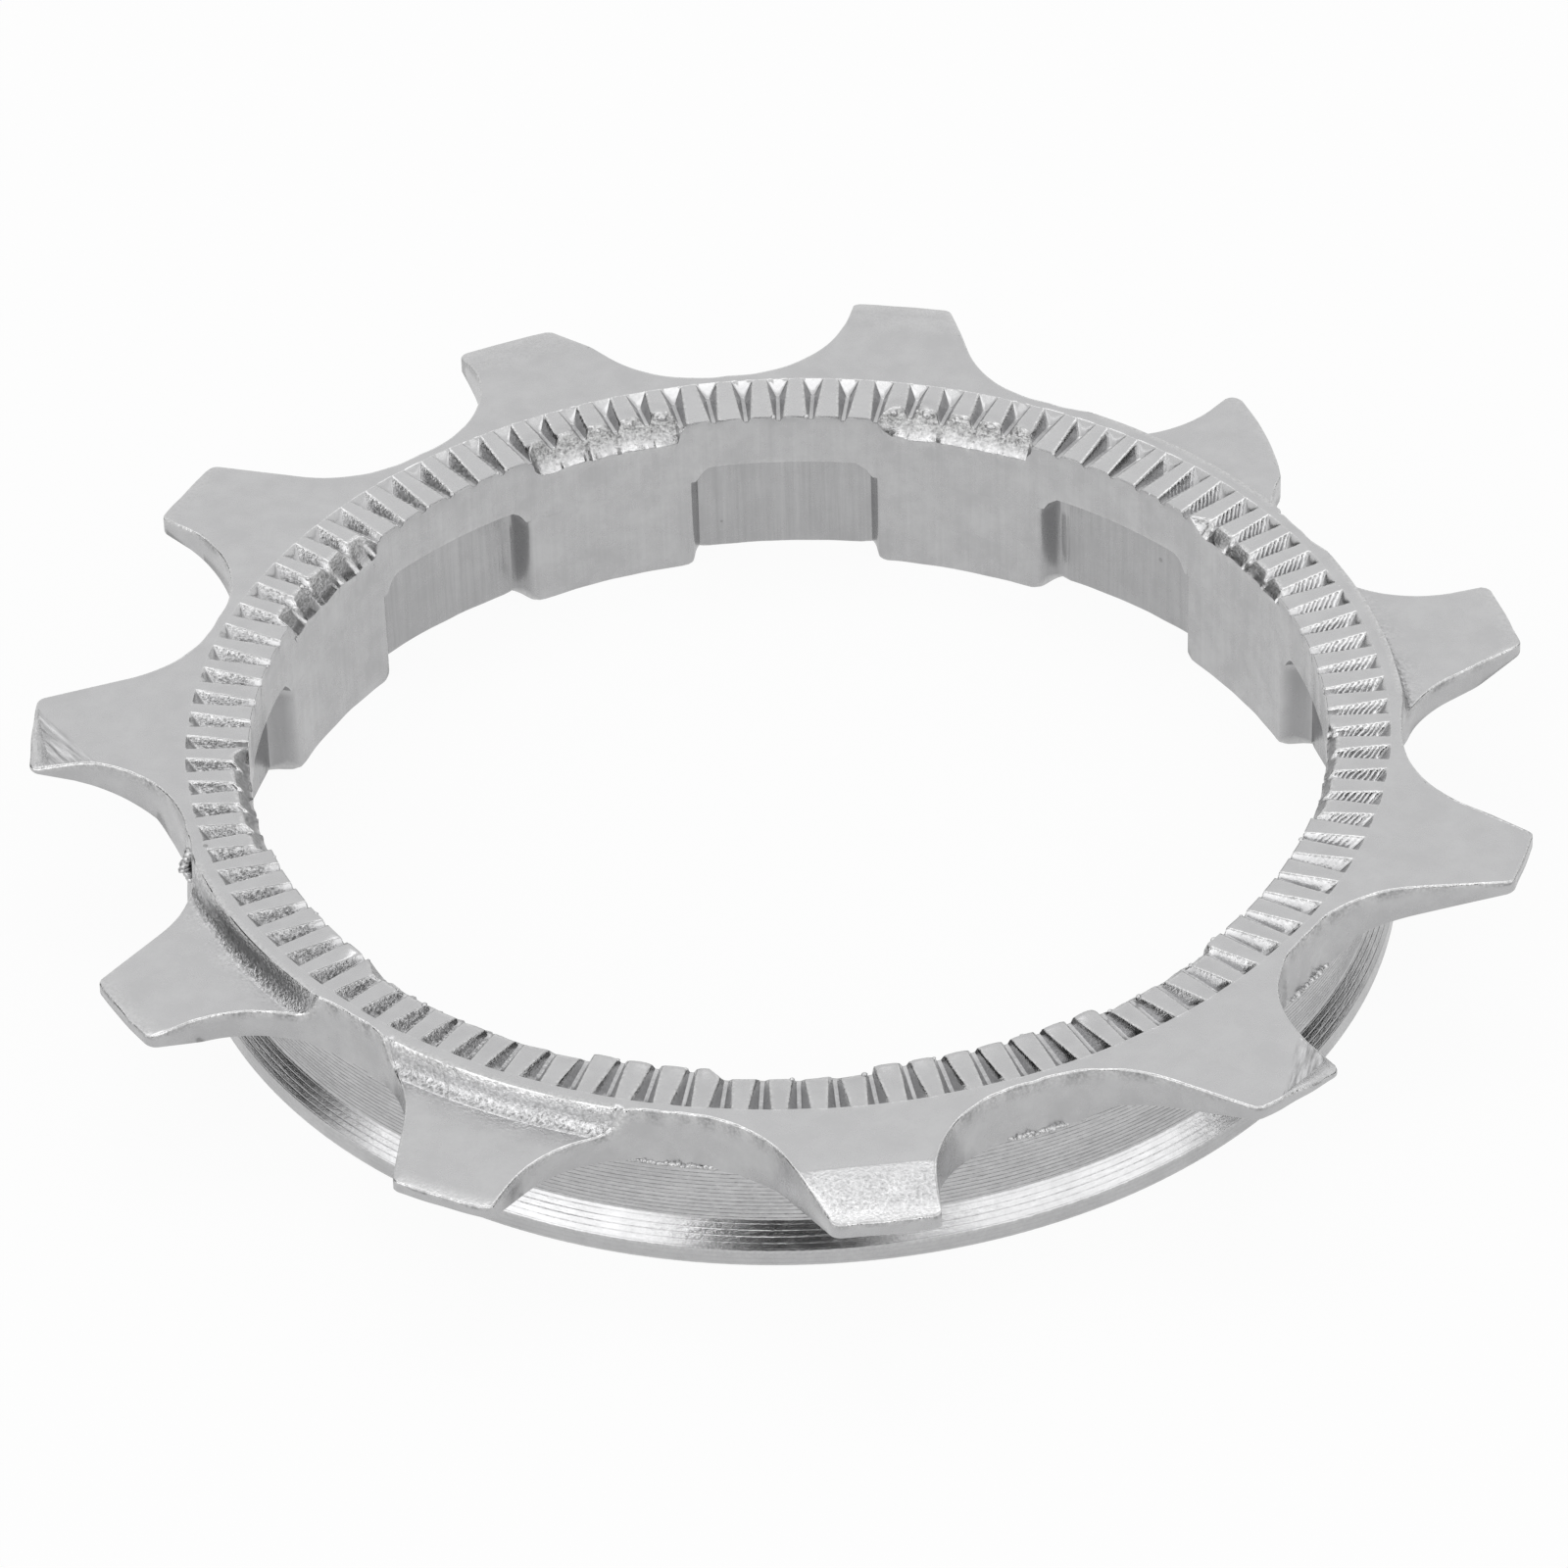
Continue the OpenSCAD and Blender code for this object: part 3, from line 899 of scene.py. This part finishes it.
def plated_steel(name, finish, masked, bright):
    """Plated steel of a colour; masked reads the tool-mark masks of the cog's skin"""
    material = bpy.data.materials.new(name)
    n, out = blank(material, "ShaderNodeOutputMaterial")
    steel = n.add("ShaderNodeBsdfPrincipled", {"Metallic": 1.0, "IOR": 1.5})
    n.link(steel.outputs["BSDF"], out.inputs["Surface"])
    where = n.add("ShaderNodeTexCoord")
    times = n.times

    def shared(label, maker):
        node = n.add("ShaderNodeGroup")
        node.node_tree = bpy.data.node_groups.get(label) or maker()
        n.link(where.outputs["Object"], node.inputs["Vector"])
        return node

    def blend(factor, low, high):
        node = n.add("ShaderNodeMix", data_type="RGBA")
        n.link(factor, node.inputs[0])
        for number, value in ((6, low), (7, high)):
            if hasattr(value, "is_linked"):
                n.link(value, node.inputs[number])
            else:
                node.inputs[number].default_value = (*value, 1.0)
        return node.outputs[2]

    plating = shared("Plating", plating_group)
    clouds, grain = plating.outputs["Clouds"], plating.outputs["Grain"]
    colour = blend(n.ranged(clouds, 0.35, 0.65), finish.dull, bright)
    dullness = finish.roughness + (0.0 if masked else 0.1)
    rough = n.ranged(clouds, 0.3, 0.7, dullness + 0.05, dullness - 0.05)
    height = times(grain, 0.12)
    if masked:
        marks = shared("Tool marks", tool_marks_group)
        mask = {
            name: n.add("ShaderNodeAttribute", attribute_name=name).outputs["Fac"] for name in MASKS
        }
        n.link(mask["grind"], marks.inputs["Grind"])
        colour = blend(times(plating.outputs["Pits"], 0.6), colour, finish.pit)
        for name, amount, tint in (
            # Groove walls: painted shade
            ("groove", 0.62, finish.groove),
            ("hatch", 0.5, finish.groove),
            ("rough", 0.4, finish.pit),
            ("grit", 0.25, finish.groove),
            ("torn", 1.0, finish.torn),
            ("ground", 0.45, finish.groove),
            # Painted shade in the recesses of the bore
            ("recess", 0.45, finish.groove),
            # Edge tint: partly worn edges, partly a painted highlight
            ("edge", 0.8, finish.edge),
        ):
            colour = blend(times(mask[name], amount), colour, tint)
        for name, amount in (
            ("edge", -0.1),
            ("turned", -0.1),
            ("groove", -0.04),
            ("rough", 0.1),
            ("grit", 0.06),
            ("torn", 0.2),
        ):
            rough = n.math("ADD", rough, times(mask[name], amount))
        # How deep each mark is cut, and how far it lightens and darkens the colour
        tone = 0.0
        for name, mark, depth, contrast in (
            ("turned", "Rings", 1.4, 0.7),
            ("turned", "Chatter", 1.5, 0.7),
            ("broach", "Uprights", 1.2, 0.45),
            ("ground", "Scratches", 2.2, 2.2),
            ("groove", "Grain", 0.7, 0.5),
            ("hatch", "Ribs", 1.2, 0.7),
            ("rough", "Grain", 2.5, 2.0),
            ("grit", "Grain", 4.5, 2.6),
            ("torn", "Chatter", 3.0, 1.6),
            ("torn", "Grain", 2.5, 1.6),
            ("edge", "Grain", 1.5, 1.2),
        ):
            output = grain if mark == "Grain" else marks.outputs[mark]
            height = n.math("ADD", height, times(times(mask[name], output), depth))
            swing = times(n.math("SUBTRACT", output, 0.5), contrast)
            tone = n.math("ADD", tone, times(mask[name], swing))
        shade = n.ranged(tone, -0.5, 0.5, 0.5, 1.5)
        tinted = n.add("ShaderNodeVectorMath", operation="SCALE")
        n.link(colour, tinted.inputs[0])
        n.link(shade, tinted.inputs["Scale"])
        colour = tinted.outputs[0]
    n.link(colour, steel.inputs["Base Color"])
    n.link(rough, steel.inputs["Roughness"])
    bump = n.add("ShaderNodeBump", {"Strength": 1.0, "Distance": finish.relief})
    n.link(height, bump.inputs["Height"])
    n.link(bump.outputs["Normal"], steel.inputs["Normal"])
    return material


def place_on(scene, name, mesh):
    """Adds a finished piece to the scene, on the cog's body"""
    obj = bpy.data.objects.new(name, mesh)
    scene.collection.objects.link(obj)
    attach(obj, "root")
    return obj


class COG_OT_body(bpy.types.Operator):
    """Build the cog's skin: serrated face, teeth, spacer and splined bore"""

    bl_idname = "cog.body"
    bl_label = "Build the cog"

    def execute(self, context):
        finish = context.scene.cog_finish
        s = sizes_mm(context.scene.cog_sizes)
        angle = rib_angles(s)
        picked = lower_pick(angle, s)
        upper = upper_rows(angle, s)
        lower = lower_rows(angle[picked], s)
        mesh = ring_mesh("cog_skin", upper, lower, picked)
        if len(mesh.loop_triangles) > MOST_TRIANGLES:
            raise RuntimeError("the cog's skin has too many triangles")
        mesh.polygons.foreach_set("use_smooth", np.ones(len(mesh.polygons), bool))
        mesh.set_sharp_from_angle(angle=math.radians(SHARP_ANGLE))
        mesh.materials.append(plated_steel("plated steel", finish, True, finish.plating))
        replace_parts(place_on(context.scene, "cog_skin", mesh), "cog")
        return {"FINISHED"}


def burr_tree(material):
    """Geometry nodes that set an uneven bead on each point of a mesh"""
    tree = bpy.data.node_groups.new("Burr beads", "GeometryNodeTree")
    for label, way, kind in (
        ("Geometry", "INPUT", "Geometry"),
        ("Bead radius", "INPUT", "Float"),
        ("Seed", "INPUT", "Int"),
        ("Geometry", "OUTPUT", "Geometry"),
    ):
        tree.interface.new_socket(label, in_out=way, socket_type="NodeSocket" + kind)
    n = Nodes(tree)
    enter = tree.nodes.new("NodeGroupInput")
    leave = tree.nodes.new("NodeGroupOutput")
    bead = n.add("GeometryNodeMeshUVSphere", {"Segments": 8, "Rings": 5})
    n.link(enter.outputs["Bead radius"], bead.inputs["Radius"])
    vector = {"data_type": "FLOAT_VECTOR"}
    size = n.add("FunctionNodeRandomValue", {0: (0.7, 0.8, 0.5), 1: (1.3, 1.4, 0.9)}, **vector)
    spin = n.add("FunctionNodeRandomValue", {0: (-0.5, -0.4, -0.4), 1: (0.5, 0.4, 0.4)}, **vector)
    for node in (size, spin):
        n.link(enter.outputs["Seed"], node.inputs["Seed"])
    put = n.add("GeometryNodeInstanceOnPoints")
    n.link(enter.outputs["Geometry"], put.inputs["Points"])
    n.link(bead.outputs["Mesh"], put.inputs["Instance"])
    faced = n.add("GeometryNodeInputNamedAttribute", {"Name": "facing"}, **vector)
    share = n.add("GeometryNodeInputNamedAttribute", {"Name": "share"}, data_type="FLOAT")
    turned = n.add("ShaderNodeVectorMath", operation="ADD")
    n.link(spin.outputs[0], turned.inputs[0])
    n.link(faced.outputs[0], turned.inputs[1])
    scaled = n.add("ShaderNodeVectorMath", operation="SCALE")
    n.link(size.outputs[0], scaled.inputs[0])
    n.link(share.outputs[0], scaled.inputs["Scale"])
    n.link(turned.outputs[0], put.inputs["Rotation"])
    n.link(scaled.outputs[0], put.inputs["Scale"])
    real = n.add("GeometryNodeRealizeInstances")
    n.link(put.outputs[0], real.inputs[0])
    dress = n.add("GeometryNodeSetMaterial", {"Material": material})
    n.link(real.outputs[0], dress.inputs["Geometry"])
    n.link(dress.outputs[0], leave.inputs[0])
    return tree


def burr_points(s):
    """Angle, radius, height and share of the full size of each bead"""
    pitch = 360 / s.serrations
    crest = s.groove_start + (np.arange(s.serrations) + 0.5) * pitch
    crest = crest[land_of(crest, s) < LAND_MARGIN]
    g = Grooves(crest, s)
    rng = np.random.default_rng(17)
    r = g.top_r + rng.uniform(-0.05, 0.05, len(crest))
    share = near_angle(crest, *TORN_SIDE) * rng.uniform(0.4, 0.8, len(crest))
    keep = share > 0.15
    beads = [np.stack([g.run(r), r, g.cut(r) - 0.08, share], 1)[keep]]
    # Burrs here and there along the bore
    shift = rng.choice((0.3, 0.5, 0.7), s.serrations)
    loose = s.groove_start + (np.arange(s.serrations) + shift) * pitch
    loose = loose[rng.random(s.serrations) < 0.35]
    g = Grooves(loose, s)
    r = np.where(land_of(loose, s) < LAND_MARGIN, g.top_r, s.land_r + 0.04)
    beads.append(np.stack([g.run(r), r, g.cut(r) - 0.02, rng.uniform(0.2, 0.4, len(r))], 1))
    # Flash left along the foot of some gaps, and a torn lump in one
    for middle, spread in ((269, 4.2), (303, 3.5), (335, 3.0)):
        a = middle + spread * np.linspace(-1, 1, 31) + rng.uniform(-0.1, 0.1, 31)
        z = s.plate_z - 0.03 + rng.uniform(-0.03, 0.03, 31)
        beads.append(np.stack([a, a * 0 + s.root_r, z, rng.uniform(0.3, 0.55, 31)], 1))
    z = s.h - np.linspace(0.75, 1.75, 6)
    r = s.root_r + np.array([0.0, 0.08, 0.16, 0.18, 0.1, 0.0])
    beads.append(np.stack([204.3 + 0.3 * (z - z.mean()), r, z, 0.7 + 0.3 * (r - s.root_r)], 1))
    return np.concatenate(beads)


class COG_OT_burrs(bpy.types.Operator):
    """Set the burr beads on the lands, along the bore and in the tooth gaps"""

    bl_idname = "cog.burrs"
    bl_label = "Set the burrs"

    def execute(self, context):
        sizes = context.scene.cog_sizes
        points = bpy.data.meshes.new("land_burrs_points")
        angle, r, z, share = burr_points(sizes_mm(sizes)).T
        a = np.radians(angle)
        points.from_pydata((np.stack([r * np.cos(a), r * np.sin(a), z], 1) * MM).tolist(), [], [])
        layer = points.attributes.new("share", "FLOAT", "POINT")
        layer.data.foreach_set("value", share.astype(np.float32))
        layer = points.attributes.new("facing", "FLOAT_VECTOR", "POINT")
        facing = np.stack([a * 0, a * 0, a], 1).astype(np.float32)
        layer.data.foreach_set("vector", facing.ravel())
        carrier = bpy.data.objects.new("land_burrs_points", points)
        context.scene.collection.objects.link(carrier)
        finish = context.scene.cog_finish
        # Burrs take the lighter edge tint as their plating: partly a painted highlight on them
        material = plated_steel("burr steel", finish, False, finish.edge)
        modifier = carrier.modifiers.new("Beads", "NODES")
        tree = burr_tree(material)
        modifier.node_group = tree
        values = {"Bead radius": sizes.bead, "Seed": 7}
        for item in tree.interface.items_tree:
            if item.in_out == "INPUT" and item.name in values:
                modifier[item.identifier] = values[item.name]
        shaped = carrier.evaluated_get(context.evaluated_depsgraph_get())
        mesh = bpy.data.meshes.new_from_object(shaped)
        if not mesh.polygons:
            raise RuntimeError("no burrs were made")
        carrier.modifiers.remove(modifier)
        bpy.data.objects.remove(carrier)
        mesh.name = "land_burrs"
        mesh.polygons.foreach_set("use_smooth", np.ones(len(mesh.polygons), bool))
        place_on(context.scene, "land_burrs", mesh)
        return {"FINISHED"}


class COG_OT_stage(bpy.types.Operator):
    """Set the floor, the lamps, the cards and the camera"""

    bl_idname = "cog.stage"
    bl_label = "Set the studio"

    def execute(self, context):
        studio = context.scene.cog_studio
        scene = context.scene
        scene.view_settings.view_transform = "Standard"
        self.world(scene)
        self.floor(scene, studio)
        self.lamps(scene)
        self.cards(scene)
        self.camera(scene, studio)
        return {"FINISHED"}

    @staticmethod
    def white_rays(n):
        """1 on rays that should see plain white, and 1 on the camera's own"""
        rays = n.add("ShaderNodeLightPath").outputs
        seen = n.math("MAXIMUM", rays["Is Camera Ray"], rays["Is Glossy Ray"])
        return n.math("MAXIMUM", seen, rays["Is Transmission Ray"]), rays["Is Camera Ray"]

    @staticmethod
    def mixed(n, share, low, high, out):
        """Shows the high shader in the place of the low one by a share"""
        mix = n.add("ShaderNodeMixShader")
        for source, socket in zip((share, low.outputs[0], high.outputs[0]), mix.inputs):
            n.link(source, socket)
        n.link(mix.outputs[0], out.inputs[0])

    @staticmethod
    def sheet(scene, name, width, height, material):
        """A flat rectangle that belongs to the studio"""
        mesh = bpy.data.meshes.new(name)
        x, y = width / 2, height / 2
        mesh.from_pydata([(-x, -y, 0), (x, -y, 0), (x, y, 0), (-x, y, 0)], [], [(0, 1, 2, 3)])
        mesh.materials.append(material)
        sheet = bpy.data.objects.new(name, mesh)
        scene.collection.objects.link(sheet)
        return sheet

    def world(self, scene):
        """White for the camera and in reflections, and a soft fill for the rest"""
        world = bpy.data.worlds.new("studio")
        n, out = blank(world, "ShaderNodeOutputWorld")
        white = n.add("ShaderNodeBackground", {"Color": (1, 1, 1, 1), "Strength": 1.0})
        fill = n.add("ShaderNodeBackground", {"Color": (1, 1, 1, 1), "Strength": 0.55})
        seen, _ = self.white_rays(n)
        self.mixed(n, seen, fill, white, out)
        scene.world = world

    def floor(self, scene, studio):
        """A pale floor, just under the cog, that shows nearly white but keeps the shadow"""
        material = bpy.data.materials.new("floor")
        n, out = blank(material, "ShaderNodeOutputMaterial")
        paper = n.add("ShaderNodeBsdfDiffuse", {"Color": (*studio.floor, 1)})
        white = n.add("ShaderNodeEmission", {"Color": (1, 1, 1, 1), "Strength": 1.0})
        seen, camera = self.white_rays(n)
        shown = n.times(camera, studio.floor_white)
        mirrored = n.times(seen, studio.floor_mirrored)
        self.mixed(n, n.math("MAXIMUM", shown, mirrored), paper, white, out)
        floor = self.sheet(scene, "floor", 3.0, 3.0, material)
        floor.location.z = -0.00002

    @staticmethod
    def toward(azimuth, elevation, distance):
        """The point at a distance from the cog in a direction given in degrees"""
        a, e = math.radians(azimuth), math.radians(elevation)
        return Vector((math.cos(e) * math.cos(a), math.cos(e) * math.sin(a), math.sin(e))) * distance

    def lamps(self, scene):
        """Softboxes round the cog, facing it"""
        for name, azimuth, elevation, width, height, radiance in (
            ("softbox_left", 231, 18, 0.92, 0.85, 1.0),
            ("softbox_right", 334, 18, 0.84, 0.8, 0.75),
            ("softbox_front", 280, 55, 0.7, 0.38, 1.15),
            ("softbox_back", 100, 66, 0.8, 0.3, 1.3),
        ):
            light = bpy.data.lights.new(name, "AREA")
            light.shape = "RECTANGLE"
            light.size, light.size_y = width, height
            light.energy = radiance * math.pi * width * height
            lamp = bpy.data.objects.new(name, light)
            lamp.location = self.toward(azimuth, elevation, LAMP_DISTANCE)
            lamp.rotation_euler = (-lamp.location).to_track_quat("-Z", "Y").to_euler()
            scene.collection.objects.link(lamp)

    def cards(self, scene):
        """Dark cards that only reflections see"""
        material = bpy.data.materials.new("dark card")
        n, out = blank(material, "ShaderNodeOutputMaterial")
        felt = n.add("ShaderNodeBsdfDiffuse", {"Color": (0.03, 0.03, 0.03, 1)})
        n.link(felt.outputs[0], out.inputs[0])
        for name, azimuth, elevation, width, height in (
            ("card_back_left", 172, 14, 0.5, 0.4),
            ("card_back_right", 38, 2, 0.64, 0.15),
            ("card_right", 17, 13, 0.46, 0.3),
            ("card_front", 279, 20, 0.3, 0.46),
        ):
            card = self.sheet(scene, name, width, height, material)
            card.location = self.toward(azimuth, elevation, CARD_DISTANCE)
            card.rotation_euler = card.location.to_track_quat("-Z", "Y").to_euler()
            card.visible_camera = card.visible_diffuse = card.visible_shadow = False

    def camera(self, scene, studio):
        """The camera at the photo's place"""
        el, az, roll = math.radians(37.645), math.radians(-10.48), math.radians(-1.7475)
        shift = (0.11205 * MM, 1.8241 * MM)
        across = Vector((math.cos(az), -math.sin(az), 0))
        upward = Vector((math.sin(az) * math.sin(el), math.cos(az) * math.sin(el), math.cos(el)))
        ahead = Vector((math.sin(az) * math.cos(el), math.cos(az) * math.cos(el), -math.sin(el)))
        right = math.cos(roll) * across + math.sin(roll) * upward
        up = -math.sin(roll) * across + math.cos(roll) * upward
        data = bpy.data.cameras.new("camera")
        data.sensor_width = 36.0
        data.lens = studio.lens
        data.clip_start = 0.01
        camera = bpy.data.objects.new("camera", data)
        top = Vector((0, 0, COG_HIGH.z))
        at = top - shift[0] * right - shift[1] * up - studio.distance * ahead
        camera.matrix_world = Matrix(
            (
                (right.x, up.x, -ahead.x, at.x),
                (right.y, up.y, -ahead.y, at.y),
                (right.z, up.z, -ahead.z, at.z),
                (0, 0, 0, 1),
            )
        )
        scene.collection.objects.link(camera)
        scene.camera = camera


class COG_PT_panel(bpy.types.Panel):
    """Steps that build the cog and its studio"""

    bl_label = "Cassette cog"
    bl_idname = "COG_PT_panel"
    bl_space_type = "VIEW_3D"
    bl_region_type = "UI"
    bl_category = "Cog"

    def draw(self, context):
        for group in ("cog_sizes", "cog_finish", "cog_studio"):
            box = self.layout.box()
            values = getattr(context.scene, group)
            for name in values.__annotations__:
                box.prop(values, name)
        for operator in (COG_OT_body, COG_OT_burrs, COG_OT_stage):
            self.layout.operator(operator.bl_idname)


CLASSES = (CogSizes, CogFinish, CogStudio, COG_OT_body, COG_OT_burrs, COG_OT_stage, COG_PT_panel)


def register():
    for cls in CLASSES:
        bpy.utils.register_class(cls)
    bpy.types.Scene.cog_sizes = bpy.props.PointerProperty(type=CogSizes)
    bpy.types.Scene.cog_finish = bpy.props.PointerProperty(type=CogFinish)
    bpy.types.Scene.cog_studio = bpy.props.PointerProperty(type=CogStudio)


def unregister():
    for name in ("cog_sizes", "cog_finish", "cog_studio"):
        delattr(bpy.types.Scene, name)
    for cls in reversed(CLASSES):
        bpy.utils.unregister_class(cls)


def main():
    register()
    bpy.ops.cog.body()
    bpy.ops.cog.burrs()
    bpy.ops.cog.stage()


if __name__ == "__main__":
    main()
